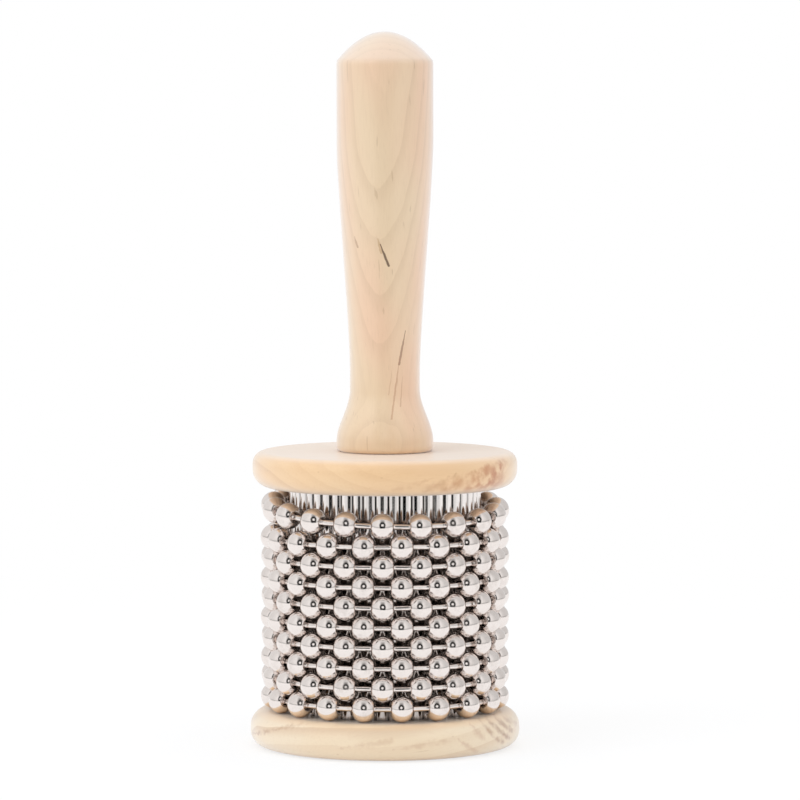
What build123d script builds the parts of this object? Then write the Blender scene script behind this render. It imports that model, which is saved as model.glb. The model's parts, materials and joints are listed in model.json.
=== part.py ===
from build123d import *
from math import asin, cos, degrees, hypot, pi, radians, sin, sqrt
import os

# A small wooden cabasa: ten loops of steel ball chain lie loosely round a ribbed steel drum
# between two turned discs, on a turned handle. Millimetres, +Z up along the handle, with the
# origin at the middle of the face that it stands on. The front is towards -Y.

# Turned discs
bottom_disc_diameter = 67.8
bottom_disc_thickness = 9.0
bottom_disc_upper_round = 4.2
bottom_disc_lower_round = 3.6
top_disc_diameter = 66.6
top_disc_thickness = 8.8
top_disc_upper_round = 3.0
top_disc_lower_round = 4.2

# Drum: a wooden core wrapped in a ribbed steel sheet
drum_height = 56.2
sleeve_crest_diameter = 48.3
sleeve_sheet = 0.5
rib_count = 50
rib_depth = 0.7
seam_width = 0.4
seam_angle = 91.5  # at the back, which also sets where the ribs stand
core_fit = 0.1  # between the core and the inner ridges of the sheet

# Handle
handle_length = 105.0  # above the top disc
dome_height = 7.3
crown_ease = 5.0  # how far the crown runs level before it bends down
flank_angle = 50.0  # slope of the dome where it meets the barrel
flank_ease = 5.0  # how far that slope runs straight
shoulder_round = 1.6
barrel_diameter = 24.3
barrel_length = 19.8
waist_diameter = 17.6
waist_length = 4.5
waist_height = 15.5  # from the top disc to the lower end of the waist
taper_ease = 11.0  # how far the taper runs straight before it bends
flare_ease = 4.5
foot_diameter = 24.4
foot_band = 2.3
foot_round = 1.0
tenon_diameter = 14.0
tenon_depth = 18.0  # into the core
tenon_chamfer = 0.8
tenon_fit = 0.1  # round the tenon and below its end

# Draw screw and washer
screw_diameter = 4.8
screw_bite = 16.0  # into the tenon
screw_tip_length = 4.0
screw_head_diameter = 9.4
screw_head_height = 3.2
screw_head_round = 1.4
screw_head_recess = 1.0  # from the standing face to the head
cross_length = 4.6
cross_width = 0.9
cross_depth = 1.5
screw_hole_room = 0.2  # round the shank in the disc, the core and the washer
screw_thread_fit = 0.05  # round the thread in the tenon
screw_pilot_room = 1.5  # past the tip
washer_diameter = 12.0
washer_thickness = 1.2
counterbore_room = 0.6  # round the washer

# Dowels between the core and the discs
dowel_count = 2
dowel_diameter = 6.0
dowel_circle_diameter = 31.0
dowel_length = 11.0
dowel_chamfer = 0.6
dowel_fit = 0.1  # round a dowel and at each end

# Ball chain
bead_diameter = 6.6
bead_length = 5.75
bead_end_diameter = 3.2
bead_wall = 0.45
bead_hole_diameter = 2.1
link_diameter = 1.4
link_head_diameter = 2.5
link_head_room = 0.09  # between a link's head and the rim of the bead's hole
nominal_bead_pitch = 9.22
chain_slack = 0.6  # between the beads and the crests of the sleeve
nest_gap = 0.22  # between the beads of neighbouring loops
seat_gap = 0.12  # under the lowest loop
least_chain_play = 4.0  # free height above the loops
front_bead_angle = -91.0
top_loop_low_angle = -70.0  # the side on which the top loop has settled
top_loop_clearance = 0.5  # under the top disc, where the top loop stands high

# Heights
drum_top = bottom_disc_thickness + drum_height
handle_base = drum_top + top_disc_thickness
handle_top = handle_base + handle_length
tenon_end = drum_top - tenon_depth
washer_seat = screw_head_recess + screw_head_height + washer_thickness
screw_seat = washer_seat - washer_thickness
screw_end = tenon_end + screw_bite

# Radii
sleeve_crest = sleeve_crest_diameter / 2
sleeve_valley = sleeve_crest - rib_depth
core_radius = sleeve_valley - sleeve_sheet - core_fit
screw_hole_radius = screw_diameter / 2 + screw_hole_room
dowel_hole_radius = dowel_diameter / 2 + dowel_fit
dowel_hole_depth = dowel_length / 2 + dowel_fit

# Chain: as many beads as fit a loop, and as many nested loops as fit the drum
bead_radius = bead_diameter / 2
loop_radius = sleeve_crest + chain_slack + bead_radius
bead_count = round(pi / asin(nominal_bead_pitch / (2 * loop_radius)))
half_step = pi / bead_count
nest_step = 2 * loop_radius * sin(half_step / 2)
loop_pitch = sqrt((bead_diameter + nest_gap) ** 2 - nest_step**2)
lowest_loop = bottom_disc_thickness + seat_gap + bead_radius
loop_room = drum_height - seat_gap - bead_diameter
loop_count = int((loop_room - least_chain_play) / loop_pitch) + 1
chain_play = loop_room - (loop_count - 1) * loop_pitch

# A link's heads lie on the axes of its two beads, just behind the rims of their holes
hole_radius = bead_hole_diameter / 2
head_radius = link_head_diameter / 2
rim_inside = bead_length / 2 - bead_wall
head_place = rim_inside - sqrt((head_radius + link_head_room) ** 2 - hole_radius**2)
link_reach = loop_radius * sin(half_step) - head_place * cos(half_step)
link_circle = loop_radius * cos(half_step) + head_place * sin(half_step)

os.makedirs("parts", exist_ok=True)


def write(piece, name):
    piece.part.label = name
    export_step(piece.part, f"parts/{name}.step")


def around(radius, angle):
    return (radius * cos(radians(angle)), radius * sin(radians(angle)))


def corner_at(profile, place):
    return profile.vertices().sort_by_distance(place)[0]


# Handle: one turned piece, from the tenon in the core to the dome
with BuildPart() as handle:
    with BuildSketch(Plane.XZ) as handle_profile:
        shoulder = handle_top - dome_height
        barrel_end = shoulder - barrel_length
        waist_low = handle_base + waist_height
        waist_high = waist_low + waist_length
        foot_high = handle_base + foot_band
        barrel, waist, foot = barrel_diameter / 2, waist_diameter / 2, foot_diameter / 2
        flank_run, flank_rise = around(flank_ease, flank_angle)
        with BuildLine():
            Polyline(
                (0, handle_top),
                (0, tenon_end),
                (tenon_diameter / 2, tenon_end),
                (tenon_diameter / 2, handle_base),
                (foot, handle_base),
                (foot, foot_high),
            )
            Bezier(
                (foot, foot_high),
                (foot, foot_high + flare_ease),
                (waist, waist_low - flare_ease),
                (waist, waist_low),
            )
            Line((waist, waist_low), (waist, waist_high))
            Bezier(
                (waist, waist_high),
                (waist, waist_high + taper_ease),
                (barrel, barrel_end - taper_ease),
                (barrel, barrel_end),
            )
            Line((barrel, barrel_end), (barrel, shoulder))
            Bezier(
                (barrel, shoulder),
                (barrel - flank_run, shoulder + flank_rise),
                (crown_ease, handle_top),
                (0, handle_top),
            )
        make_face()
        fillet(corner_at(handle_profile, (barrel, shoulder)), shoulder_round)
        fillet(corner_at(handle_profile, (foot, handle_base)), foot_round)
        chamfer(corner_at(handle_profile, (tenon_diameter / 2, tenon_end)), tenon_chamfer)
    revolve(axis=Axis.Z)
    with BuildSketch(Plane.XY.offset(tenon_end)):
        Circle(screw_diameter / 2 + screw_thread_fit)
    extrude(amount=screw_bite + screw_pilot_room, mode=Mode.SUBTRACT)
write(handle, "handle")

# Top disc: the tenon passes through it, and the dowels start in its lower face
with BuildPart() as top_disc:
    with BuildSketch(Plane.XY.offset(drum_top)):
        Circle(top_disc_diameter / 2)
    extrude(amount=top_disc_thickness)
    fillet(top_disc.edges().sort_by(Axis.Z)[-1], top_disc_upper_round)
    fillet(top_disc.edges().sort_by(Axis.Z)[0], top_disc_lower_round)
    with Locations(top_disc.faces().sort_by(Axis.Z)[0]):
        Hole(tenon_diameter / 2 + tenon_fit)
        with PolarLocations(dowel_circle_diameter / 2, dowel_count):
            Hole(dowel_hole_radius, dowel_hole_depth)
write(top_disc, "top_disc")

# Bottom disc: it stands on its lower face, which hides the draw screw in a counterbore
with BuildPart() as bottom_disc:
    with BuildSketch():
        Circle(bottom_disc_diameter / 2)
    extrude(amount=bottom_disc_thickness)
    fillet(bottom_disc.edges().sort_by(Axis.Z)[-1], bottom_disc_upper_round)
    fillet(bottom_disc.edges().sort_by(Axis.Z)[0], bottom_disc_lower_round)
    with Locations(bottom_disc.faces().sort_by(Axis.Z)[-1]):
        with PolarLocations(dowel_circle_diameter / 2, dowel_count):
            Hole(dowel_hole_radius, dowel_hole_depth)
    with Locations(bottom_disc.faces().sort_by(Axis.Z)[0]):
        CounterBoreHole(
            screw_hole_radius, washer_diameter / 2 + counterbore_room, washer_seat
        )
write(bottom_disc, "bottom_disc")

# Drum core: a socket for the tenon, a bore for the screw and a dowel hole for each dowel
with BuildPart() as drum_core:
    with BuildSketch(Plane.XY.offset(bottom_disc_thickness)):
        Circle(core_radius)
    extrude(amount=drum_height)
    with Locations(drum_core.faces().sort_by(Axis.Z)[-1]):
        CounterBoreHole(
            screw_hole_radius, tenon_diameter / 2 + tenon_fit, tenon_depth + tenon_fit
        )
        with PolarLocations(dowel_circle_diameter / 2, dowel_count):
            Hole(dowel_hole_radius, dowel_hole_depth)
    with Locations(drum_core.faces().sort_by(Axis.Z)[0]):
        with PolarLocations(dowel_circle_diameter / 2, dowel_count):
            Hole(dowel_hole_radius, dowel_hole_depth)
write(drum_core, "drum_core")


def rib_outline(crest, valley):
    rib_angle = 360 / rib_count
    for rib in range(rib_count):
        start = seam_angle + rib * rib_angle
        ThreePointArc(
            around(valley, start),
            around(crest, start + rib_angle / 2),
            around(valley, start + rib_angle),
        )


# Ribbed sleeve: a sheet rolled round the core, its edges meeting in a valley at the back
with BuildPart() as ribbed_sleeve:
    with BuildSketch(Plane.XY.offset(bottom_disc_thickness)):
        with BuildLine():
            rib_outline(sleeve_crest, sleeve_valley)
        make_face()
        with BuildLine():
            rib_outline(sleeve_crest - sleeve_sheet, sleeve_valley - sleeve_sheet)
        make_face(mode=Mode.SUBTRACT)
        with Locations(around(sleeve_crest, seam_angle)):
            Rectangle(sleeve_crest, seam_width, rotation=seam_angle, mode=Mode.SUBTRACT)
    extrude(amount=drum_height)
write(ribbed_sleeve, "ribbed_sleeve")

# Draw screw: pan head with a cross recess, it pulls the handle, discs and core together
with BuildPart() as draw_screw:
    with BuildSketch(Plane.XZ) as screw_profile:
        with BuildLine():
            Polyline(
                (0, screw_head_recess),
                (screw_head_diameter / 2, screw_head_recess),
                (screw_head_diameter / 2, screw_seat),
                (screw_diameter / 2, screw_seat),
                (screw_diameter / 2, screw_end - screw_tip_length),
                (0, screw_end),
                close=True,
            )
        make_face()
        head_corner = (screw_head_diameter / 2, screw_head_recess)
        fillet(corner_at(screw_profile, head_corner), screw_head_round)
    revolve(axis=Axis.Z)
    with BuildSketch(Plane.XY.offset(screw_head_recess)):
        Rectangle(cross_length, cross_width)
        Rectangle(cross_width, cross_length)
    extrude(amount=cross_depth, mode=Mode.SUBTRACT)
write(draw_screw, "draw_screw")

# Washer under the screw's head
with BuildPart() as screw_washer:
    with BuildSketch(Plane.XY.offset(screw_seat)):
        Circle(washer_diameter / 2)
        Circle(screw_hole_radius, mode=Mode.SUBTRACT)
    extrude(amount=washer_thickness)
write(screw_washer, "screw_washer")


# Dowels: half in the core, half in a disc
def dowels(height, name):
    with BuildPart(Plane.XY.offset(height)) as pins:
        with PolarLocations(dowel_circle_diameter / 2, dowel_count):
            Cylinder(dowel_diameter / 2, dowel_length)
        chamfer(pins.edges().filter_by(GeomType.CIRCLE), dowel_chamfer)
    write(pins, name)


dowels(drum_top, "upper_dowels")
dowels(bottom_disc_thickness, "lower_dowels")

# One bead: a hollow barrel along Y, with a hole in each flat end
with BuildPart() as bead:
    with BuildSketch():
        end, inner_end = bead_length / 2, bead_length / 2 - bead_wall
        rise = bead_radius - bead_end_diameter / 2
        barrel_arc = (end**2 + rise**2) / (2 * rise)
        inner_arc = barrel_arc - bead_wall
        inner_edge = bead_radius - barrel_arc + sqrt(inner_arc**2 - inner_end**2)
        with BuildLine():
            ThreePointArc(
                (bead_end_diameter / 2, -end),
                (bead_radius, 0),
                (bead_end_diameter / 2, end),
            )
            Polyline(
                (bead_end_diameter / 2, end),
                (hole_radius, end),
                (hole_radius, inner_end),
                (inner_edge, inner_end),
            )
            ThreePointArc(
                (inner_edge, inner_end),
                (bead_radius - bead_wall, 0),
                (inner_edge, -inner_end),
            )
            Polyline(
                (inner_edge, -inner_end),
                (hole_radius, -inner_end),
                (hole_radius, -end),
                (bead_end_diameter / 2, -end),
            )
        make_face()
    revolve(axis=Axis.Y)

# One link: a rod along Y with a ball head at each end, held captive in two beads
with BuildPart() as link:
    with BuildSketch():
        rod = link_diameter / 2
        neck = link_reach - sqrt(head_radius**2 - rod**2)
        tip = link_reach + head_radius
        with BuildLine():
            Line((rod, -neck), (rod, neck))
            ThreePointArc((rod, neck), (head_radius, link_reach), (0, tip))
            Line((0, tip), (0, -tip))
            ThreePointArc((0, -tip), (head_radius, -link_reach), (rod, -neck))
        make_face()
    revolve(axis=Axis.Y)


def ring_of(piece, plane, radius, start_angle, name):
    with BuildPart(plane) as ring:
        with PolarLocations(radius, bead_count, start_angle):
            add(piece.part)
    write(ring, name)


# The loops nest, each turned half a step against the next. The top one has settled on one side
# and stands up on the other, as far as the free height lets it.
top_loop_rise = chain_play - top_loop_clearance
low_x, low_y = around(1, top_loop_low_angle)
lean = top_loop_rise / (2 * loop_radius)
for loop in range(1, loop_count + 1):
    height = lowest_loop + (loop_count - loop) * loop_pitch
    turn = front_bead_angle + degrees(half_step) * ((loop - 1) % 2)
    loop_plane = Plane.XY.offset(height)
    if loop == 1:
        upright = (lean * low_x, lean * low_y, sqrt(1 - lean**2))
        loop_plane = Plane(
            origin=(0, 0, height + top_loop_rise / 2), x_dir=(1, 0, 0), z_dir=upright
        )
    ring_of(bead, loop_plane, loop_radius, turn, f"chain_{loop:02d}_beads")
    ring_of(link, loop_plane, link_circle, turn + degrees(half_step), f"chain_{loop:02d}_links")

print(f"overall height {handle_top:.2f}, width {bottom_disc_diameter:.2f}")
print(f"{loop_count} loops of {bead_count} beads, loop radius {loop_radius:.2f}, pitch {loop_pitch:.3f}")
print(f"bead step {2 * loop_radius * sin(half_step):.3f}, head at {head_place:.3f} from a bead's middle")
print(f"free height over the loops {chain_play:.2f}, top loop lifted {top_loop_rise:.2f}")
lateral = (bead_length / 2 - head_place) * sin(half_step) + link_diameter / 2
print(f"least gaps: heads in a bead {2 * (head_place - head_radius):.2f},", end=" ")
print(f"rod in its hole {hole_radius - lateral / cos(half_step):.2f},", end=" ")
print(f"nested beads {hypot(nest_step, loop_pitch) - bead_diameter:.2f}")
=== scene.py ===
import bpy
import json
import math
import random
import numpy as np
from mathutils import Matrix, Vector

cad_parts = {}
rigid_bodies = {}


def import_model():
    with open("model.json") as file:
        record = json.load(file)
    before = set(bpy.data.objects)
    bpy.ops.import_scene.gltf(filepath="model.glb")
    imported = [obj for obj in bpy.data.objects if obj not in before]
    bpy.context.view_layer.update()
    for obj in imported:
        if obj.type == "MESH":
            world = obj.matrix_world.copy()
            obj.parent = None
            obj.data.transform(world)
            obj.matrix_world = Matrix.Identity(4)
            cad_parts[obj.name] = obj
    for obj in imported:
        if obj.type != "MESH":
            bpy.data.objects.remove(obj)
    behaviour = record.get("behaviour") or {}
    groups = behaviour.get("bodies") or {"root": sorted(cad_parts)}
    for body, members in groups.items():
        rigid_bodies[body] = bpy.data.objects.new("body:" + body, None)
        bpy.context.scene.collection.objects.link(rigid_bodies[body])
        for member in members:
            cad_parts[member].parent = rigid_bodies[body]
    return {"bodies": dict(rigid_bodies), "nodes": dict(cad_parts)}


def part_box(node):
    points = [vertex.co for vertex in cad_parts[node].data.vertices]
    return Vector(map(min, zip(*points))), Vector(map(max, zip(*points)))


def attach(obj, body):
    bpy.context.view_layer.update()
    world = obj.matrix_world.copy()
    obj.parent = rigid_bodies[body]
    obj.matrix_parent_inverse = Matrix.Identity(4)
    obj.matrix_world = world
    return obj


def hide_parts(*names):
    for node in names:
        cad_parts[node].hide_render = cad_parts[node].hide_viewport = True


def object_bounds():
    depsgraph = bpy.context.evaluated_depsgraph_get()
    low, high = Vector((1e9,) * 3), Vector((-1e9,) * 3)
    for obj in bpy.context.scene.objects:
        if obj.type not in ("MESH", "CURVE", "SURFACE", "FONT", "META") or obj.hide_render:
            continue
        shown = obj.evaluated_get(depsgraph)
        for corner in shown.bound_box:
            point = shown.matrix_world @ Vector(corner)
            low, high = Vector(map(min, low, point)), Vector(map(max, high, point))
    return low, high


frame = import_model()
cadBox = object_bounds()
cadCentre = (cadBox[0] + cadBox[1]) / 2
mm = 0.001
degree = math.radians(1)
fullTurn = 2 * math.pi
print("frame loaded,", len(frame["nodes"]), "nodes")


# Reading the frame, in millimetres

def nodePoints(node):
    mesh = frame["nodes"][node].data
    flat = np.zeros(len(mesh.vertices) * 3, np.float32)
    mesh.vertices.foreach_get("co", flat)
    return flat.reshape(-1, 3).astype(float) / mm


def turnedOutline(points, leastReach):
    reach = np.hypot(points[:, 0], points[:, 1])
    points, reach = points[reach >= leastReach], reach[reach >= leastReach]
    heights = np.round(points[:, 2], 3)  # to the micrometre
    levels, group = np.unique(heights, return_inverse=True)
    widest = np.zeros(len(levels))
    np.maximum.at(widest, group, reach)
    return np.column_stack((widest, levels))  # rows of radius and height, from below


def evenly(outline, spacing):
    steps = np.hypot(*np.diff(outline, axis=0).T)
    along = np.concatenate(([0], np.cumsum(steps)))
    places = np.linspace(0, along[-1], max(2, int(along[-1] / spacing) + 1))
    return np.column_stack([np.interp(places, along, outline[:, k]) for k in (0, 1)])


def ringPieces(node):
    points = nodePoints(node)
    angles = np.degrees(np.arctan2(points[:, 1], points[:, 0]))
    order = np.argsort(angles)
    angles, points = angles[order], points[order]
    clear = 1.0  # degrees, less than the room between two pieces
    gaps = np.where(np.diff(angles) > clear)[0] + 1
    groups = np.split(points, gaps)
    if angles[0] + 360 - angles[-1] < clear:  # one piece lies across the half turn
        groups[0] = np.vstack((groups.pop(), groups[0]))
    return groups


# Making meshes

def addPiece(name, points, faces, finish, body, node, slot, sharpAngle):
    mesh = bpy.data.meshes.new(name)
    mesh.from_pydata((np.asarray(points) * mm).tolist(), [], faces)
    mesh.polygons.foreach_set("use_smooth", [True] * len(mesh.polygons))
    mesh.set_sharp_from_angle(angle=math.radians(sharpAngle))
    mesh.materials.append(finish)
    mesh.update()
    piece = bpy.data.objects.new(name, mesh)
    bpy.context.scene.collection.objects.link(piece)
    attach(piece, body)
    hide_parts(node)


def turnedMesh(outline, steps, shave, looped=False):
    points, faces, rows = [], [], []
    for radius, height in outline:
        first = len(points)
        if radius == 0:  # a point on the axis
            points.append((0, 0, height))
            rows.append([first] * steps)
            continue
        for step in range(steps):
            angle = fullTurn * step / steps
            reach = radius - shave(angle, height)
            points.append((reach * math.cos(angle), reach * math.sin(angle), height))
        rows.append(list(range(first, first + steps)))
    nextRows = rows[1:] + rows[:1] if looped else rows[1:]
    for low, high in zip(rows, nextRows):
        for step in range(steps):
            after = (step + 1) % steps
            corners = (low[step], low[after], high[after], high[step])
            faces.append(tuple(dict.fromkeys(corners)))
    return points, faces


def gridFaces(rows, columns, looped):
    faces = []
    for row in range(rows if looped else rows - 1):
        here, above = row * columns, (row + 1) % rows * columns
        for column in range(columns):
            after = (column + 1) % columns
            faces.append((here + column, here + after, above + after, above + column))
    return faces


def drawWaves(dice, look):
    return [(dice.randint(*look["waveTurns"]), dice.uniform(*look["waveRates"]), dice.uniform(0, fullTurn))
            for _ in range(look["waves"])]


def waveAt(waves, angle, height):
    return sum(np.sin(turns * angle + rate * height + start) for turns, rate, start in waves) / len(waves)


handMarkLook = {
    "waves": 5,
    "waveTurns": (2, 7),
    "waveRates": (0.1, 0.5),
}


def handMarks(look):
    waves = drawWaves(random.Random(look["seed"]), handMarkLook)

    def shave(angle, height):
        return look["marksDepth"] * (1 + waveAt(waves, angle, height)) / 2  # never proud of the outline
    return shave


# Making finishes

def newFinish(name):
    finish = bpy.data.materials.new(name)
    finish.use_nodes = True
    tree = finish.node_tree
    tree.nodes.clear()
    shader = tree.nodes.new("ShaderNodeBsdfPrincipled")
    output = tree.nodes.new("ShaderNodeOutputMaterial")
    tree.links.new(shader.outputs["BSDF"], output.inputs["Surface"])
    return finish, tree, shader


def feed(tree, socket, value):
    if isinstance(value, bpy.types.NodeSocket):
        tree.links.new(value, socket)
    else:
        socket.default_value = value


def addNode(tree, kind, inputs=None, **settings):
    node = tree.nodes.new("ShaderNode" + kind)
    for key, value in settings.items():
        setattr(node, key, value)
    for key, value in (inputs or {}).items():
        feed(tree, node.inputs[key], value)
    return node


def calc(tree, operation, first, second=0.0):
    return addNode(tree, "Math", {0: first, 1: second}, operation=operation).outputs[0]


def times(tree, first, second):
    return calc(tree, "MULTIPLY", first, second)


def vectorCalc(tree, operation, first, second=(0, 0, 0), third=(0, 0, 0)):
    node = addNode(tree, "VectorMath", {0: first, 1: second, 2: third}, operation=operation)
    return node.outputs["Value" if operation in ("LENGTH", "DOT_PRODUCT") else "Vector"]


def fromUpright(tree, place):
    level = vectorCalc(tree, "MULTIPLY", place, (1, 1, 0))
    return vectorCalc(tree, "LENGTH", level)  # distance from the Z axis


def fade(tree, value, low, high, bottom=0.0, top=1.0):
    inputs = {"Value": value, "From Min": low, "From Max": high, "To Min": bottom, "To Max": top}
    return addNode(tree, "MapRange", inputs, interpolation_type="SMOOTHSTEP").outputs["Result"]


def tint(tree, amount, under, over):
    return addNode(tree, "Mix", {0: amount, 6: under, 7: over}, data_type="RGBA").outputs[2]


cloudSpan = (0.3, 0.7)  # most of a cloud's values lie between these


def cloud(tree, place, scale, detail=2.0, roughness=0.5):
    inputs = {"Vector": place, "Scale": scale, "Detail": detail, "Roughness": roughness}
    return addNode(tree, "TexNoise", inputs)


def stretched(tree, place, along):
    return vectorCalc(tree, "MULTIPLY", place, (1, 1, along))


def roughened(tree, shader, value, span, look):
    rough = fade(tree, value, *span, look["roughness"], look["roughness"] + look["roughnessSpread"])
    tree.links.new(rough, shader.inputs["Roughness"])


def bumped(tree, shader, height, look):
    inputs = {"Strength": look["bumpStrength"], "Distance": look["bumpDepth"] * mm, "Height": height}
    tree.links.new(addNode(tree, "Bump", inputs).outputs["Normal"], shader.inputs["Normal"])


# Streaks and flecks on the front of a turned piece, from one point to another as seen from the front

markLook = {
    "plainEdge": 0.4,
    "figureEdge": 0.0,
    "figureRagged": 1.6,
    "raggedScale": 900,
    "thinStart": 0.35,
    "fullFrom": 0.6,
    "outerEdge": 0.75,
    "brokenScale": 350,
    "brokenFrom": 0.3,
    "brokenTo": 0.6,
    "brokenKeep": 2.5,
    "frontDepth": 0.002,
}


def markAt(start, end, width, ragged, strength, color, edge=markLook["plainEdge"]):
    return {"start": start, "end": end, "width": width, "ragged": ragged, "strength": strength,
            "color": color, "edge": edge}


def figureAt(start, end, width, strength, color):
    ragged, edge = markLook["figureRagged"], markLook["figureEdge"]  # soft and wandering
    return markAt(start, end, width, ragged, strength, color, edge)


def frontMark(tree, place, mark):
    look = markLook
    startX, startZ = mark["start"]
    runX, runZ = mark["end"][0] - startX, mark["end"][1] - startZ
    length = math.hypot(runX, runZ)
    wayX, wayZ = runX / length, runZ / length
    flat = vectorCalc(tree, "MULTIPLY_ADD", place, (1 / mm, 0, 1 / mm), (-startX, 0, -startZ))
    ragged = cloud(tree, place, look["raggedScale"]).outputs[1]
    flat = vectorCalc(tree, "MULTIPLY_ADD", ragged, (mark["ragged"], 0, mark["ragged"]), flat)
    along = vectorCalc(tree, "DOT_PRODUCT", flat, (wayX, 0, wayZ))
    held = calc(tree, "MINIMUM", calc(tree, "MAXIMUM", along, 0.0), length)
    nearest = addNode(tree, "CombineXYZ", {0: times(tree, held, wayX), 2: times(tree, held, wayZ)}).outputs[0]
    off = vectorCalc(tree, "LENGTH", vectorCalc(tree, "SUBTRACT", flat, nearest))
    swell = fade(tree, along, 0, length * look["fullFrom"], look["thinStart"], 1.0)  # thin at its start
    inner, outer = mark["width"] * mark["edge"], mark["width"] * look["outerEdge"]
    near = fade(tree, calc(tree, "DIVIDE", off, swell), inner, outer, 1.0, 0.0)
    patches = cloud(tree, place, look["brokenScale"], detail=3).outputs[0]
    broken = fade(tree, patches, look["brokenFrom"], look["brokenTo"], mark["edge"] * look["brokenKeep"], 1.0)
    near = times(tree, near, calc(tree, "MINIMUM", broken, 1.0))
    facing = addNode(tree, "SeparateXYZ", {0: place}).outputs[1]
    return times(tree, near, fade(tree, facing, -look["frontDepth"], 0.0, mark["strength"], 0.0))


# Wood: growth rings round a leaning pith, with fibres, pores and broad warm patches

grainLook = {
    "swayStretch": 0.3,
    "rippleStretch": 0.15,
    "lateWoodEnd": 0.94,
    "yearEnd": 0.95,
    "faintestYear": 0.25,
    "fibreStretch": 0.03,
    "fibreFrom": 0.45,
    "fibreTo": 0.75,
    "fibreHeight": 0.6,
    "poreStretch": 0.07,
    "poreSoft": 0.06,
    "broadStretch": 0.35,
    "blushFrom": 0.35,
    "blushTo": 0.68,
    "faceFrom": 0.6,
    "faceTo": 0.97,
    "coatRoughness": 0.22,
    "fuzzRoughness": 0.5,
}


def growthRings(tree, inLog, look):
    grain = grainLook
    sway = cloud(tree, stretched(tree, inLog, grain["swayStretch"]), look["swayScale"]).outputs[1]
    swayed = vectorCalc(tree, "MULTIPLY_ADD", sway, (look["sway"],) * 3, inLog)
    alongRipple = stretched(tree, inLog, grain["rippleStretch"])
    ripple = cloud(tree, alongRipple, look["rippleScale"], detail=3).outputs[1]
    swayed = vectorCalc(tree, "MULTIPLY_ADD", ripple, (look["ripple"],) * 3, swayed)
    ring = calc(tree, "DIVIDE", fromUpright(tree, swayed), look["ringWidth"])
    year = calc(tree, "FLOOR", ring)
    season = calc(tree, "FRACT", ring)
    rise = fade(tree, season, look["lateWood"], grain["lateWoodEnd"])
    fall = fade(tree, season, grain["yearEnd"], 1.0, 1.0, 0.0)
    yearDraw = addNode(tree, "TexWhiteNoise", {"W": year}, noise_dimensions="1D").outputs["Value"]
    yearStrength = fade(tree, yearDraw, 0, 1, grain["faintestYear"], 1)
    return times(tree, times(tree, rise, fall), yearStrength)


def woodFinish(name, look):
    grain = grainLook
    finish, tree, shader = newFinish(name)
    place = addNode(tree, "TexCoord").outputs["Object"]
    inLog = addNode(tree, "Mapping", {
        "Vector": place,
        "Location": [mm * v for v in look["pith"]],
        "Rotation": [math.radians(v) for v in look["lean"]],
        "Scale": (mm, mm, mm),
    }, vector_type="TEXTURE").outputs[0]  # millimetres in the log, its pith along Z
    lateWood = growthRings(tree, inLog, look)
    alongFibre = stretched(tree, inLog, grain["fibreStretch"])
    fibre = cloud(tree, alongFibre, look["fibreScale"], detail=3, roughness=0.6).outputs[0]
    fibreDark = fade(tree, fibre, grain["fibreFrom"], grain["fibreTo"])
    pore = cloud(tree, stretched(tree, inLog, grain["poreStretch"]), look["poreScale"], detail=1).outputs[0]
    poreDark = fade(tree, pore, look["poreFrom"], look["poreFrom"] + grain["poreSoft"])
    broad = cloud(tree, stretched(tree, inLog, grain["broadStretch"]), look["broadScale"]).outputs[0]
    blush = fade(tree, broad, grain["blushFrom"], grain["blushTo"])
    color = tint(tree, times(tree, blush, look["blushStrength"]), look["color"], look["blushColor"])
    color = tint(tree, times(tree, lateWood, look["ringStrength"]), color, look["ringColor"])
    color = tint(tree, times(tree, fibreDark, look["fibreStrength"]), color, look["ringColor"])
    color = tint(tree, times(tree, poreDark, look["poreStrength"]), color, look["poreColor"])
    for mark in look["marks"]:
        color = tint(tree, frontMark(tree, place, mark), color, mark["color"])
    if "crownHighlightColor" in look:  # painted highlight: the dome's top paler than the shaft, for the light from above
        height = calc(tree, "DIVIDE", addNode(tree, "SeparateXYZ", {0: place}).outputs[2], mm)
        crown = fade(tree, height, look["crownFrom"], look["crownTo"], 0.0, look["crownHighlightShare"])
        color = tint(tree, crown, color, look["crownHighlightColor"])
    if "faceLightingColor" in look:  # painted light: the flat faces get another tone than the turned rim
        upright = addNode(tree, "SeparateXYZ", {0: addNode(tree, "TexCoord").outputs["Normal"]}).outputs[2]
        flatness = calc(tree, "ABSOLUTE", upright)
        face = fade(tree, flatness, grain["faceFrom"], grain["faceTo"], 0.0, look["faceLightingShare"])
        color = tint(tree, face, color, look["faceLightingColor"])
    tree.links.new(color, shader.inputs["Base Color"])
    roughened(tree, shader, fibre, cloudSpan, look)
    shader.inputs["Coat Weight"].default_value = look["varnish"]
    shader.inputs["Coat Roughness"].default_value = grain["coatRoughness"]
    shader.inputs["Sheen Weight"].default_value = look["fuzz"]
    shader.inputs["Sheen Roughness"].default_value = grain["fuzzRoughness"]
    sunken = calc(tree, "ADD", poreDark, lateWood)
    bumped(tree, shader, calc(tree, "SUBTRACT", times(tree, fibre, grain["fibreHeight"]), sunken), look)
    return finish


# Handle: pale close-grained wood, turned in one piece with its tenon

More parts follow.
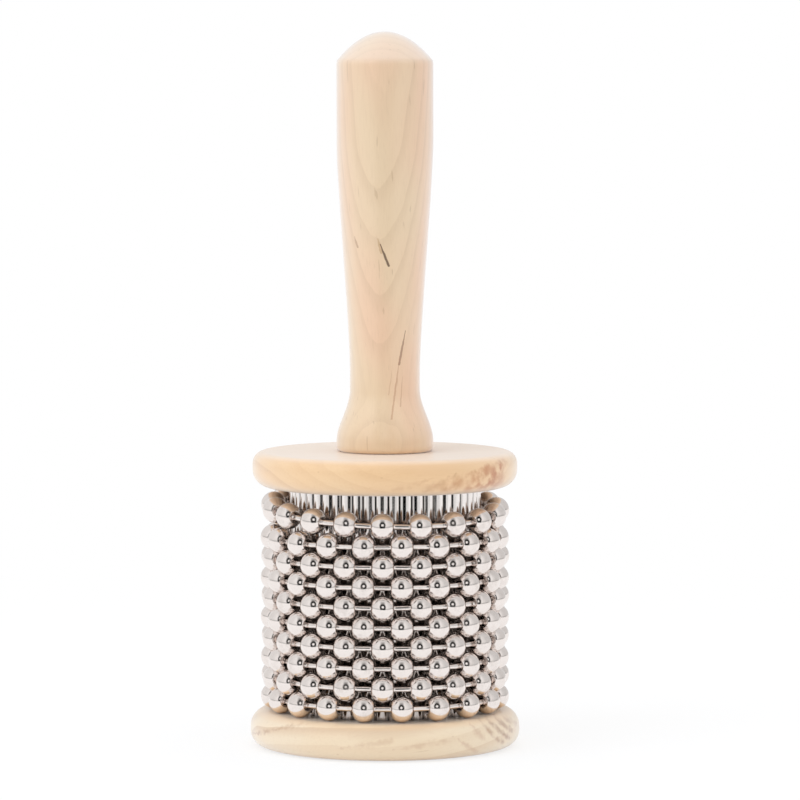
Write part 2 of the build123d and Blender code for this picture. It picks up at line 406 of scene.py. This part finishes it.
handleLook = {
    "steps": 160,
    "spacing": 0.8,
    "sharpAngle": 50,
    "seed": 11,
    "marksDepth": 0.06,
    "seatSlack": 0.01,
    "tenonLeast": 4.0,
    "crownLeast": 0.05,
    "pith": (9.0, 46.0, 60.0),
    "lean": (-4.5, -1.6, 0.0),
    "ringWidth": 1.9,
    "sway": 2.6,
    "swayScale": 0.05,
    "ripple": 0.5,
    "rippleScale": 0.35,
    "lateWood": 0.45,
    "color": (0.808, 0.610, 0.390, 1),
    "blushColor": (0.850, 0.520, 0.340, 1),
    "blushStrength": 0.75,
    "broadScale": 0.045,
    "ringColor": (0.520, 0.330, 0.180, 1),
    "ringStrength": 0.24,
    "fibreScale": 2.6,
    "fibreStrength": 0.10,
    "poreColor": (0.420, 0.250, 0.130, 1),
    "poreScale": 1.1,
    "poreFrom": 0.70,
    "poreStrength": 0.28,
    "roughness": 0.48,
    "roughnessSpread": 0.12,
    "varnish": 1.0,
    "fuzz": 1.0,
    "bumpStrength": 0.35,
    "bumpDepth": 0.05,
    # painted highlight on the dome's top
    "crownHighlightColor": (0.860, 0.690, 0.550, 1),
    "crownFrom": 170.5,
    "crownTo": 173.0,
    "crownHighlightShare": 0.45,
    "marks": [
        markAt((-1.5, 128.0), (-0.6, 124.6), 0.60, 0.5, 0.45, (0.480, 0.250, 0.090, 1)),
        markAt((-1.0, 126.4), (1.1, 121.1), 0.50, 0.25, 0.85, (0.100, 0.040, 0.012, 1)),
        markAt((-7.4, 128.2), (-6.6, 125.6), 0.40, 0.3, 0.55, (0.380, 0.190, 0.090, 1)),
        markAt((5.3, 104.8), (3.7, 96.4), 0.45, 0.3, 0.70, (0.260, 0.110, 0.045, 1)),
        markAt((3.9, 98.5), (1.9, 83.0), 0.38, 0.4, 0.50, (0.480, 0.220, 0.110, 1)),
        markAt((4.6, 93.5), (4.1, 86.0), 0.26, 0.4, 0.40, (0.480, 0.230, 0.120, 1)),
        markAt((2.0, 95.0), (1.2, 89.0), 0.26, 0.4, 0.30, (0.500, 0.250, 0.130, 1)),
    ],
}


def makeHandle():
    look = handleLook
    points = nodePoints("handle")
    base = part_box("top_disc")[1].z / mm
    split = base - look["seatSlack"]  # the foot's own ring of points lies above this
    tenon = turnedOutline(points[points[:, 2] < split], look["tenonLeast"])
    shaft = turnedOutline(points[points[:, 2] > split], 0.0)
    seat = [(tenon[-1][0], base)]
    crown = shaft[:-1] if shaft[-1][0] < look["crownLeast"] else shaft
    body = evenly(crown, look["spacing"])
    outline = np.vstack(([(0, tenon[0][1])], tenon, seat, body, [(0, points[:, 2].max())]))
    mesh = turnedMesh(outline, look["steps"], handMarks(look))
    finish = woodFinish("paleHandleWood", look)
    addPiece("turnedHandle", *mesh, finish, "drum", "handle", "handle_wood", look["sharpAngle"])


makeHandle()
print("handle turned")


# Discs: two turned rounds of wider-grained wood

topDiscLook = {
    "steps": 192,
    "spacing": 0.7,
    "sharpAngle": 50,
    "seed": 21,
    "marksDepth": 0.08,
    "rimLeast": 20.0,
    "faceRings": 9,
    "faceInset": 0.3,
    "boreRadius": 7.1,
    "pith": (30.0, 30.0, 10.0),
    "lean": (0.0, 90.0, 24.0),
    "ringWidth": 3.0,
    "sway": 5.0,
    "swayScale": 0.035,
    "ripple": 0.5,
    "rippleScale": 0.3,
    "lateWood": 0.25,
    "color": (0.860, 0.600, 0.340, 1),
    "blushColor": (0.840, 0.520, 0.260, 1),
    "blushStrength": 0.6,
    "broadScale": 0.04,
    "ringColor": (0.620, 0.340, 0.160, 1),
    "ringStrength": 0.30,
    "fibreScale": 2.2,
    "fibreStrength": 0.10,
    "poreColor": (0.500, 0.280, 0.130, 1),
    "poreScale": 0.9,
    "poreFrom": 0.72,
    "poreStrength": 0.25,
    "roughness": 0.46,
    "roughnessSpread": 0.12,
    "varnish": 0.75,
    "fuzz": 0.6,
    # painted sheen: the top disc's flat faces paler, like gloss seen at a low angle
    "faceLightingColor": (0.900, 0.700, 0.530, 1),
    "faceLightingShare": 0.5,
    "bumpStrength": 0.35,
    "bumpDepth": 0.05,
    "marks": [
        figureAt((29.8, 73.0), (26.2, 67.6), 6.5, 0.95, (0.520, 0.180, 0.050, 1)),
        figureAt((26.4, 72.8), (21.8, 67.4), 4.6, 0.80, (0.560, 0.220, 0.070, 1)),
        figureAt((22.8, 71.8), (15.8, 67.6), 3.2, 0.70, (0.560, 0.245, 0.085, 1)),
        figureAt((18.2, 71.2), (10.6, 67.4), 2.0, 0.50, (0.560, 0.275, 0.115, 1)),
        figureAt((12.8, 70.6), (3.0, 67.6), 1.6, 0.32, (0.600, 0.310, 0.140, 1)),
    ],
}

bottomDiscLook = {
    **topDiscLook,
    "seed": 31,
    "counterboreRadius": 6.6,
    "counterboreDepth": 5.4,
    "counterboreEase": 0.2,
    "screwHoleRadius": 2.6,
    "pith": (48.0, -6.0, -46.0),
    "lean": (0.0, 84.0, 12.0),
    "ringWidth": 4.2,
    "color": (0.860, 0.710, 0.510, 1),
    "blushColor": (0.850, 0.650, 0.420, 1),
    "ringColor": (0.560, 0.330, 0.170, 1),
    "ringStrength": 0.50,
    # painted shade: the bottom disc's flat faces a warmer orange, for the warm shade on the ledge under the
    # chain
    "faceLightingColor": (0.920, 0.620, 0.340, 1),
    "faceLightingShare": 0.6,
    "marks": [
        figureAt((18.8, 5.8), (23.4, 2.2), 1.5, 0.36, (0.520, 0.270, 0.150, 1)),
        figureAt((21.6, 9.4), (25.2, 5.4), 1.4, 0.34, (0.520, 0.270, 0.150, 1)),
        markAt((23.6, 9.6), (29.6, 3.2), 1.2, 0.9, 0.60, (0.400, 0.190, 0.090, 1), edge=0.05),
        markAt((25.0, 10.0), (31.4, 3.8), 1.2, 0.9, 0.72, (0.360, 0.165, 0.075, 1), edge=0.05),
        markAt((27.0, 10.0), (32.4, 5.2), 1.1, 0.9, 0.66, (0.380, 0.180, 0.085, 1), edge=0.05),
        markAt((29.0, 9.8), (33.2, 6.4), 1.1, 0.9, 0.56, (0.420, 0.205, 0.100, 1), edge=0.05),
        figureAt((-32.2, 4.4), (-27.0, 6.9), 1.1, 0.62, (0.450, 0.230, 0.110, 1)),
        figureAt((-27.4, 6.7), (-19.5, 9.4), 1.0, 0.52, (0.480, 0.260, 0.130, 1)),
        figureAt((-10.0, 4.2), (2.6, 6.2), 1.6, 0.34, (0.560, 0.330, 0.180, 1)),
        figureAt((3.0, 4.0), (17.0, 6.0), 1.6, 0.32, (0.560, 0.330, 0.180, 1)),
    ],
}


def discOutline(node, look, lowHole, highHole):
    rim = evenly(turnedOutline(nodePoints(node), look["rimLeast"]), look["spacing"])
    (firstReach, low), (lastReach, high) = rim[0], rim[-1]
    under = [(r, low) for r in np.linspace(lowHole, firstReach - look["faceInset"], look["faceRings"])]
    over = [(r, high) for r in np.linspace(lastReach - look["faceInset"], highHole, look["faceRings"])]
    return np.vstack((under, rim, over)), low


def makeTopDisc():
    look = topDiscLook
    outline, _ = discOutline("top_disc", look, look["boreRadius"], look["boreRadius"])
    mesh = turnedMesh(outline, look["steps"], handMarks(look), True)
    finish = woodFinish("topDiscWood", look)
    addPiece("topDiscTurned", *mesh, finish, "drum", "top_disc", "top_disc_wood", look["sharpAngle"])


def makeBottomDisc():
    look = bottomDiscLook
    hole, bore = look["screwHoleRadius"], look["counterboreRadius"]
    outline, low = discOutline("bottom_disc", look, bore, hole)
    step = low + look["counterboreDepth"]
    inside = [(hole, step), (bore, step), (bore, low + look["counterboreEase"])]
    mesh = turnedMesh(np.vstack((outline, inside)), look["steps"], handMarks(look), True)
    finish = woodFinish("bottomDiscWood", look)
    addPiece("bottomDiscTurned", *mesh, finish, "drum", "bottom_disc", "bottom_disc_wood", look["sharpAngle"])


makeTopDisc()
makeBottomDisc()
print("discs turned")


# Ribbed sleeve: rolled steel sheet, its ribs a little uneven and its edges meeting at the back

sleeveLook = {
    "ribs": 50,
    "ribSteps": 10,
    "ribRound": 0.62,
    "rows": 40,
    "sheet": 0.5,
    "ribDepth": 0.7,
    "seamAngle": 91.5,
    "seamHalfWidth": 0.5,
    "sharpAngle": 60,
    "seed": 41,
    "unevenWidth": 0.10,
    "waviness": 0.035,
    "waves": 6,
    "waveTurns": (3, 11),
    "waveRates": (0.05, 0.3),
    "color": (0.88, 0.835, 0.81, 1),
    # painted shade: the rib valleys darkened, where shade falls between the ribs
    "grooveShadeColor": (0.034, 0.022, 0.016, 1),
    "grooveFrom": 0.10,
    "grooveTo": 0.72,
    "grooveShadeShare": 0.45,
    # painted shade: the sleeve darker behind the chain, standing in for the shade the beads cast on it
    "chainShadeColor": (0.420, 0.370, 0.340, 1),
    "chainShadeBelow": 2.0,
    "chainShadeSoft": 1.5,
    "chainShadeRagged": 1.2,
    "chainShadeShare": 0.8,
    "smearStretch": 0.05,
    "smearScale": 0.8,
    "drawnStretch": 0.02,
    "drawnScale": 6.0,
    "roughness": 0.08,
    "roughnessSpread": 0.10,
    "bumpStrength": 0.25,
    "bumpDepth": 0.02,
}


def sleeveFinish(crest, valley):
    look = sleeveLook
    finish, tree, shader = newFinish("rolledSleeveSteel")
    place = addNode(tree, "TexCoord").outputs["Object"]
    inMm = vectorCalc(tree, "MULTIPLY", place, (1 / mm,) * 3)
    smear = cloud(tree, stretched(tree, inMm, look["smearStretch"]), look["smearScale"], detail=3).outputs[0]
    # painted shade in the valleys between the ribs
    grooveTop = valley + (crest - valley) * look["grooveTo"]
    groove = fade(tree, fromUpright(tree, inMm), valley + look["grooveFrom"], grooveTop, 1.0, 0.0)
    height = addNode(tree, "SeparateXYZ", {0: inMm}).outputs[2]
    ragged = calc(tree, "ADD", height, times(tree, smear, look["chainShadeRagged"]))
    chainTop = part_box("chain_02_beads")[1].z / mm - look["chainShadeBelow"]  # top of the painted shade, just below the level loops
    # painted shade behind the chain
    shadeBehindChain = fade(tree, ragged, chainTop, chainTop + look["chainShadeSoft"], 1.0, 0.0)
    color = tint(tree, times(tree, shadeBehindChain, look["chainShadeShare"]), look["color"], look["chainShadeColor"])
    color = tint(tree, times(tree, groove, look["grooveShadeShare"]), color, look["grooveShadeColor"])
    tree.links.new(color, shader.inputs["Base Color"])
    shader.inputs["Metallic"].default_value = 1.0
    roughened(tree, shader, smear, cloudSpan, look)
    drawn = cloud(tree, stretched(tree, inMm, look["drawnStretch"]), look["drawnScale"]).outputs[0]
    bumped(tree, shader, drawn, look)
    return finish


def ribbedLine(dice, crest, valley):
    look = sleeveLook
    widths = np.array([1 + dice.uniform(-1, 1) * look["unevenWidth"] for _ in range(look["ribs"])])
    edges = np.concatenate(([0], np.cumsum(widths))) / widths.sum()
    shares, reaches = [], []
    for rib in range(look["ribs"]):
        for step in range(look["ribSteps"]):
            part = step / look["ribSteps"]
            shares.append(edges[rib] + part * (edges[rib + 1] - edges[rib]))
            reaches.append(valley + (crest - valley) * math.sin(math.pi * part) ** look["ribRound"])
    shares.append(1.0)
    reaches.append(valley)
    seamHalf = math.radians(look["seamHalfWidth"])
    angles = math.radians(look["seamAngle"]) + seamHalf + np.array(shares) * (fullTurn - 2 * seamHalf)
    return angles, np.array(reaches)


def sheetFaces(rows, columns):
    faces, inner = [], rows * columns  # the outer skin's points come first, then the inner skin's
    for row in range(rows - 1):
        for column in range(columns - 1):
            a = row * columns + column
            b, c, d = a + 1, a + columns + 1, a + columns
            faces.append((a, b, c, d))
            faces.append((inner + d, inner + c, inner + b, inner + a))
    for column in range(columns - 1):
        top = (rows - 1) * columns + column
        faces.append((top, top + 1, inner + top + 1, inner + top))
        faces.append((column + 1, column, inner + column, inner + column + 1))
    for row in range(rows - 1):
        first, last = row * columns, row * columns + columns - 1
        faces.append((first, first + columns, inner + first + columns, inner + first))
        faces.append((last + columns, last, inner + last, inner + last + columns))
    return faces


def makeSleeve():
    look = sleeveLook
    lowest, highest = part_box("ribbed_sleeve")
    crest = highest.x / mm
    valley = crest - look["ribDepth"]
    dice = random.Random(look["seed"])
    angles, reaches = ribbedLine(dice, crest, valley)
    waves = drawWaves(dice, look)
    points, columns = [], len(angles)
    for inset in (0, look["sheet"]):
        for height in np.linspace(lowest.z / mm, highest.z / mm, look["rows"]):
            reach = reaches - inset - look["waviness"] * (1 + waveAt(waves, angles, height)) / 2
            level = np.full(columns, height)
            points += np.column_stack((reach * np.cos(angles), reach * np.sin(angles), level)).tolist()
    mesh = points, sheetFaces(look["rows"], columns)
    finish = sleeveFinish(crest, valley)
    addPiece("rolledSleeve", *mesh, finish, "drum", "ribbed_sleeve", "sleeve_steel", look["sharpAngle"])


makeSleeve()
print("sleeve rolled")


# Ball chain: hollow beads rolled from strip, with dumbbell links held in their ends

plateLook = {
    "sharpAngle": 60,
    "color": (0.88, 0.815, 0.78, 1),
    "dullColor": (0.76, 0.69, 0.65, 1),
    "dullFrom": 0.4,
    "dullTo": 0.75,
    "leastDull": 0.2,
    "mostDull": 0.8,
    "smudgeScale": 0.5,
    # painted shade on beads and links, darker towards the drum
    "inwardShadeColor": (0.300, 0.240, 0.210, 1),
    "inwardShadeShare": 0.9,
    "inwardShadeRagged": 0.15,
    "scuffScale": 7.0,
    "roughnessSpread": 0.12,
    "bumpStrength": 0.10,
    "bumpDepth": 0.02,
}
beadLook = {
    **plateLook,
    "steps": 30,
    "arcSteps": 14,
    "arcShare": 0.97,
    "length": 5.75,
    "diameter": 6.6,
    "endDiameter": 3.2,
    "wall": 0.45,
    "holeDiameter": 2.1,
    "lipRound": 0.16,
    "lipEase": 0.05,
    "endEase": 0.12,
    "insideSteps": 5,
    "seamDepth": 0.16,
    "seamEdges": (-1.4, -0.6, 0.6, 1.4),
    "seamRoom": 0.05,
    "seamDrift": 0.9,
    "seed": 51,
    "tilt": 2.0,
    "drift": 0.06,
    "dent": 0.02,
    "dentRate": 0.9,
    "dentTurns": 2,
    "inwardShadeFrom": 27.8,
    "inwardShadeTo": 26.4,
    "roughness": 0.12,
}
linkLook = {
    **plateLook,
    "steps": 14,
    "ballSteps": 8,
    "diameter": 1.4,
    "headDiameter": 2.5,
    "headRoom": 0.09,
    "inwardShadeFrom": 28.2,
    "inwardShadeTo": 27.7,
    "roughness": 0.14,
}


def plateFinish(name, look):
    finish, tree, shader = newFinish(name)
    place = addNode(tree, "TexCoord").outputs["Object"]
    inMm = vectorCalc(tree, "MULTIPLY", place, (1 / mm,) * 3)
    each = addNode(tree, "NewGeometry").outputs["Random Per Island"]
    smudge = cloud(tree, inMm, look["smudgeScale"], detail=4, roughness=0.6).outputs[0]
    eachDull = fade(tree, each, 0, 1, look["leastDull"], look["mostDull"])
    dull = times(tree, fade(tree, smudge, look["dullFrom"], look["dullTo"]), eachDull)
    color = tint(tree, dull, look["color"], look["dullColor"])
    if "inwardShadeFrom" in look:  # painted shade: darker towards the drum, on the sides facing the gaps in the chain
        wander = fade(tree, smudge, *cloudSpan, -look["inwardShadeRagged"], look["inwardShadeRagged"])
        reachWithWander = calc(tree, "ADD", fromUpright(tree, inMm), wander)
        drumSideShade = fade(tree, reachWithWander, look["inwardShadeTo"], look["inwardShadeFrom"], look["inwardShadeShare"], 0.0)
        color = tint(tree, drumSideShade, color, look["inwardShadeColor"])
    tree.links.new(color, shader.inputs["Base Color"])
    shader.inputs["Metallic"].default_value = 1.0
    roughened(tree, shader, dull, (0, 1), look)
    scuff = cloud(tree, inMm, look["scuffScale"], detail=3).outputs[0]
    bumped(tree, shader, scuff, look)
    return finish


def beadProfile():
    look = beadLook
    end, big, small = look["length"] / 2, look["diameter"] / 2, look["endDiameter"] / 2
    hole, wall = look["holeDiameter"] / 2, look["wall"]
    rise = big - small
    arc = (end ** 2 + rise ** 2) / (2 * rise)
    middle = big - arc
    lean = math.asin(end / arc) * look["arcShare"]
    turns = np.linspace(lean, -lean, look["arcSteps"])
    outer = [(arc * math.sin(a), middle + arc * math.cos(a)) for a in turns]
    lip = [
        (end, small - look["endEase"]),
        (end, hole + look["lipRound"]),
        (end - look["lipEase"], hole + look["lipEase"]),
        (end - look["lipRound"], hole),
        (end - wall, hole),
    ]
    inside = np.linspace(-(end - wall), end - wall, look["insideSteps"])
    hollow = [(along, middle + (arc - wall) * math.cos(math.asin(along / (arc - wall)))) for along in inside]
    backLip = [(-along, reach) for along, reach in lip]
    return np.array(outer + backLip + hollow + lip[::-1])  # along the chain, and from the bead's axis


def beadColumns():
    look = beadLook
    even = np.linspace(look["seamRoom"], fullTurn - look["seamRoom"], look["steps"] - 1)
    seam = np.radians(look["seamEdges"])  # a narrow slit where the strip's edges meet
    depth = np.concatenate((np.zeros(len(even)), [0, look["seamDepth"], look["seamDepth"], 0]))
    return np.concatenate((even, fullTurn + seam)), depth


def linkProfile(reach):
    rod, head = linkLook["diameter"] / 2, linkLook["headDiameter"] / 2
    turns = np.linspace(0, math.pi - math.asin(rod / head), linkLook["ballSteps"])
    ball = [(reach + head * math.cos(a), head * math.sin(a)) for a in turns]
    rods = [(reach * share, rod) for share in (0.5, 0, -0.5)]
    return ball + rods + [(-along, radius) for along, radius in ball[::-1]]


def around(centre, along, out, profile, angles, shrink):
    reach = profile[:, 1][:, None] - shrink
    ring = np.cos(angles)[:, None] * out + np.sin(angles)[:, None] * np.cross(out, along)
    return centre + profile[:, 0][:, None, None] * along + reach[:, :, None] * ring[None, :, :]


def square(way, to):
    way = way - to * way.dot(to)
    return way / np.linalg.norm(way)


def beadAxes(outward, up, dice):
    out = square(outward, up)
    nod, yaw = (math.radians(dice.uniform(-1, 1) * beadLook["tilt"]) for _ in range(2))
    along = np.cross(up, out) + nod * up + yaw * out
    along /= np.linalg.norm(along)
    return along, square(out, along)


def linkRing(centres, axes):
    head = linkLook["headDiameter"] / 2
    rim = beadLook["length"] / 2 - beadLook["wall"]
    held = rim - math.sqrt((head + linkLook["headRoom"]) ** 2 - (beadLook["holeDiameter"] / 2) ** 2)
    turn = np.linspace(0, fullTurn, linkLook["steps"], endpoint=False)
    points, faces = [], []
    for bead, along in enumerate(axes):
        after = (bead + 1) % len(axes)
        start, end = centres[bead] + along * held, centres[after] - axes[after] * held
        run = end - start
        way = run / np.linalg.norm(run)
        outline = np.array(linkProfile(np.linalg.norm(run) / 2))
        body, middle, first = outline[1:-1], (start + end) / 2, len(points)
        grid = around(middle, way, square(middle, way), body, turn, np.zeros((len(body), len(turn))))
        points += grid.reshape(-1, 3).tolist()
        faces += (np.array(gridFaces(len(body), len(turn), False)) + first).tolist()
        tip, last = len(points), first + (len(body) - 1) * len(turn)
        points += [(middle + way * outline[0][0]).tolist(), (middle + way * outline[-1][0]).tolist()]
        for step in range(len(turn)):
            beside = (step + 1) % len(turn)
            faces.append((tip, first + beside, first + step))
            faces.append((last + step, last + beside, tip + 1))
    return points, faces


def makeChain():
    look = beadLook
    profile, (columns, seamDepth) = beadProfile(), beadColumns()
    beadFaces = np.array(gridFaces(len(profile), len(columns), True))
    outside = np.arange(len(profile)) < look["arcSteps"]
    beadFinish = plateFinish("nickelBead", beadLook)
    linkFinish = plateFinish("nickelLink", linkLook)
    dice, sharp = random.Random(look["seed"]), plateLook["sharpAngle"]
    loops = sorted(body for body in frame["bodies"] if body.startswith("chain_"))
    for loop in loops:
        centres = np.array([(p.min(0) + p.max(0)) / 2 for p in ringPieces(loop + "_beads")])
        hub = centres.mean(0)
        up = np.linalg.svd(centres - hub)[2][2]  # square to the loop, which may lean
        up = up * np.sign(up[2])
        points, faces, axes = [], [], []
        for centre in centres:
            along, out = beadAxes(centre - hub, up, dice)
            centre += [dice.uniform(-1, 1) * look["drift"] for _ in range(3)]  # the row in centres moves too
            roll = math.pi + dice.uniform(-1, 1) * look["seamDrift"]  # the seam lies towards the drum
            first, second = dice.uniform(0, fullTurn), dice.uniform(0, fullTurn)
            lengthwise = np.cos(profile[:, 0] * look["dentRate"] + second)
            crosswise = np.sin(look["dentTurns"] * columns + first)
            swell = lengthwise[:, None] * crosswise[None, :]
            shrink = np.where(outside[:, None], look["dent"] * (1 + swell) + seamDepth[None, :], 0)
            grid = around(centre, along, out, profile, columns + roll, shrink)
            faces += (beadFaces + len(points)).tolist()
            points += grid.reshape(-1, 3).tolist()
            axes.append(along)
        addPiece(loop + "Beads", points, faces, beadFinish, loop, loop + "_beads", "bead_metal", sharp)
        mesh = linkRing(centres, np.array(axes))
        addPiece(loop + "Links", *mesh, linkFinish, loop, loop + "_links", "link_metal", sharp)
    print("chain linked,", len(loops), "loops")


makeChain()


# Pieces inside and under the drum keep their solids

coreLook = {
    **bottomDiscLook,
    "marks": [],
    "color": (0.70, 0.55, 0.36, 1),
    "roughness": 0.62,
    "varnish": 0.0,
    "fuzz": 0.3,
}
dowelLook = {
    **handleLook,
    "marks": [],
    "color": (0.74, 0.57, 0.37, 1),
    "ringWidth": 1.4,
    "roughness": 0.60,
    "varnish": 0.0,
    "fuzz": 0.3,
}
screwLook = {
    **plateLook,
    "color": (0.62, 0.62, 0.63, 1),
    "dullColor": (0.45, 0.44, 0.43, 1),
    "roughness": 0.22,
}


def dress(node, finish):
    materials = frame["nodes"][node].data.materials
    materials.clear()
    materials.append(finish)


dress("drum_core", woodFinish("coreWood", coreLook))
dowelFinish = woodFinish("dowelWood", dowelLook)
dress("upper_dowels", dowelFinish)
dress("lower_dowels", dowelFinish)
screwFinish = plateFinish("zincScrew", screwLook)
dress("draw_screw", screwFinish)
dress("screw_washer", screwFinish)
print("inner pieces dressed")


# Studio: a white table and surround, with soft light mostly from the left

tableLook = {
    "color": (0.94, 0.94, 0.94, 1),
    "roughness": 0.9,
    "size": 6.0,
    "front": 0.42,
    "drop": 0.0002,
    "glow": 0.75,
    "whiteFrom": 0.05,
    "whiteTo": 0.40,
}


def rayKinds(tree):
    ray = addNode(tree, "LightPath").outputs
    return ray["Is Camera Ray"], calc(tree, "MAXIMUM", ray["Is Glossy Ray"], ray["Is Transmission Ray"])


def makeTable():
    look = tableLook
    half, front = look["size"] / 2, -look["front"]
    mesh = bpy.data.meshes.new("table")
    corners = [(-half, front, 0), (half, front, 0), (half, half, 0), (-half, half, 0)]
    mesh.from_pydata(corners, [], [(0, 1, 2, 3)])
    table = bpy.data.objects.new("table", mesh)
    table.location.z = -look["drop"]  # just clear of the flat foot
    bpy.context.scene.collection.objects.link(table)
    finish, tree, shader = newFinish("tableWhite")
    shader.inputs["Base Color"].default_value = look["color"]
    shader.inputs["Roughness"].default_value = look["roughness"]
    shader.inputs["Specular IOR Level"].default_value = 0.0
    away = vectorCalc(tree, "LENGTH", addNode(tree, "TexCoord").outputs["Object"])
    white = fade(tree, away, look["whiteFrom"], look["whiteTo"], look["glow"], 1.0)
    direct, mirrored = rayKinds(tree)
    seen = calc(tree, "MAXIMUM", direct, mirrored)
    white = times(tree, white, seen)  # the glow is to look at and lights nothing
    glow = addNode(tree, "Emission", {"Color": (1, 1, 1, 1), "Strength": 1.0}).outputs[0]
    mixed = addNode(tree, "MixShader", {0: white, 1: shader.outputs["BSDF"], 2: glow}).outputs[0]
    tree.links.new(mixed, tree.nodes["Material Output"].inputs["Surface"])
    mesh.materials.append(finish)


# Angles are in degrees, and a pair says where an edge starts and ends
surroundLook = {
    "ambient": 0.84,
    "ambientAbove": 1.12,
    "aboveRise": (15.0, 65.0),
    "frontShade": 0.40,
    "frontAside": (24.0, 78.0),
    "frontRise": (24.0, 60.0),
    "skyShade": 0.97,
    "skyRise": (-1.0, 4.0),
    "leftShade": 0.84,
    "rightShade": 0.70,
    "sideAside": (20.0, 90.0),
    "behindAside": (90.0, 130.0),
    "horizonShade": 0.60,
    "horizonRise": (2.5, 7.5),
    "lampHeight": 19.0,
    "lampEdge": (7.7, 13.2),
    "spotShade": 0.07,
    "spotEdge": (23.0, 31.0),
    "smearShade": 0.12,
    "smearEdge": (4.0, 32.0),
    "smearRise": (19.0, 110.0),
    "bandShade": 0.04,
    "bandAside": (16.0, 28.0),
    "bandRise": (0.0, 4.0),
}


def inDegrees(tree, value):
    return calc(tree, "DIVIDE", value, degree)


def within(tree, value, edge):
    return fade(tree, value, *edge, 1.0, 0.0)  # one up to the edge, nothing past it


def shadedBy(tree, shade, where, depth):
    return times(tree, shade, fade(tree, where, 0, 1, 1.0, depth))


# What the bright metal mirrors: white all round, with a dark camera corner, its lamp and the table's edge
def mirroredShade(tree, way, x, rise, aside):
    look = surroundLook
    sideFrom, sideTo = look["sideAside"]
    toRight = fade(tree, aside, sideFrom, sideTo, 1.0, look["rightShade"])
    toLeft = fade(tree, aside, -sideTo, -sideFrom, look["leftShade"], 1.0)
    aside = calc(tree, "ABSOLUTE", aside)
    inFront = within(tree, aside, look["behindAside"])
    horizon = times(tree, within(tree, calc(tree, "ABSOLUTE", rise), look["horizonRise"]), inFront)
    lampUp = math.radians(look["lampHeight"])
    toLamp = vectorCalc(tree, "DOT_PRODUCT", way, (0, -math.cos(lampUp), math.sin(lampUp)))
    fromLamp = inDegrees(tree, calc(tree, "ARCCOSINE", toLamp))
    sideways = inDegrees(tree, calc(tree, "ARCSINE", calc(tree, "ABSOLUTE", x)))
    smear = times(tree, within(tree, sideways, look["smearEdge"]), within(tree, rise, look["smearRise"]))
    band = times(tree, within(tree, aside, look["bandAside"]), within(tree, rise, look["bandRise"]))
    shade = fade(tree, rise, *look["skyRise"], 1.0, look["skyShade"])
    shade = times(tree, shade, times(tree, toLeft, toRight))
    shade = shadedBy(tree, shade, within(tree, fromLamp, look["spotEdge"]), look["spotShade"])
    shade = shadedBy(tree, shade, times(tree, smear, inFront), look["smearShade"])
    shade = shadedBy(tree, shade, band, look["bandShade"])
    shade = shadedBy(tree, shade, horizon, look["horizonShade"])
    return calc(tree, "MAXIMUM", shade, within(tree, fromLamp, look["lampEdge"]))


def softLight(tree, rise, aside):
    look = surroundLook
    aside = calc(tree, "ABSOLUTE", aside)
    front = fade(tree, aside, *look["frontAside"], look["frontShade"], 0.0)
    front = times(tree, front, within(tree, rise, look["frontRise"]))
    above = fade(tree, rise, *look["aboveRise"], look["ambient"], look["ambientAbove"])
    return times(tree, calc(tree, "SUBTRACT", 1.0, front), above)


def makeSurround():
    world = bpy.data.worlds.new("whiteStudio")
    world.use_nodes = True
    bpy.context.scene.world = world
    tree = world.node_tree
    tree.nodes.clear()
    way = addNode(tree, "TexCoord").outputs["Generated"]
    x, y, z = addNode(tree, "SeparateXYZ", {0: way}).outputs
    rise = inDegrees(tree, calc(tree, "ARCSINE", z))
    aside = inDegrees(tree, calc(tree, "ARCTAN2", x, times(tree, y, -1.0)))
    shade = mirroredShade(tree, way, x, rise, aside)
    soft = softLight(tree, rise, aside)
    direct, mirrored = rayKinds(tree)
    level = addNode(tree, "Mix", {0: mirrored, 2: soft, 3: shade}).outputs[0]
    level = addNode(tree, "Mix", {0: direct, 2: level, 3: 1.0}).outputs[0]
    sky = addNode(tree, "Background", {"Color": (1, 1, 1, 1), "Strength": level}).outputs[0]
    output = tree.nodes.new("ShaderNodeOutputWorld")
    tree.links.new(sky, output.inputs["Surface"])


lampLook = {
    "size": 1.0,
    "tint": (0.92, 1.00, 1.15),
    "lamps": {
        "keyLamp": {"place": (-0.95, -0.75, 0.95), "power": 6.0},
        "fillLamp": {"place": (1.1, -0.7, 0.6), "power": 1.2},
        "frontLamp": {"place": (0.15, -0.9, 1.1), "power": 1.4},
    },
}


def addLamp(name, place, power):
    light = bpy.data.lights.new(name, "AREA")
    light.energy = power
    light.size = lampLook["size"]
    light.color = lampLook["tint"]
    lamp = bpy.data.objects.new(name, light)
    bpy.context.scene.collection.objects.link(lamp)
    lamp.location = place
    lamp.rotation_euler = (cadCentre - lamp.location).to_track_quat("-Z", "Y").to_euler()
    lamp.visible_glossy = False  # gloss shows the surround alone


makeTable()
makeSurround()
for lampName, lamp in lampLook["lamps"].items():
    addLamp(lampName, **lamp)
print("studio lit")


# Camera at the photograph's angle

cameraLook = {
    "place": (0.00378, -1.199, 0.174),
    "downTilt": 4.16,
    "lens": 215.6,
    "sensor": 36.0,
    "nearest": 0.01,
}


def makeCamera():
    camera = bpy.data.objects.new("photoCamera", bpy.data.cameras.new("photoCamera"))
    bpy.context.scene.collection.objects.link(camera)
    camera.location = cameraLook["place"]
    camera.rotation_euler = (math.radians(90 - cameraLook["downTilt"]), 0, 0)
    camera.data.sensor_width = cameraLook["sensor"]
    camera.data.lens = cameraLook["lens"]
    camera.data.clip_start = cameraLook["nearest"]
    bpy.context.scene.camera = camera


makeCamera()
bpy.context.scene.view_settings.view_transform = "Standard"
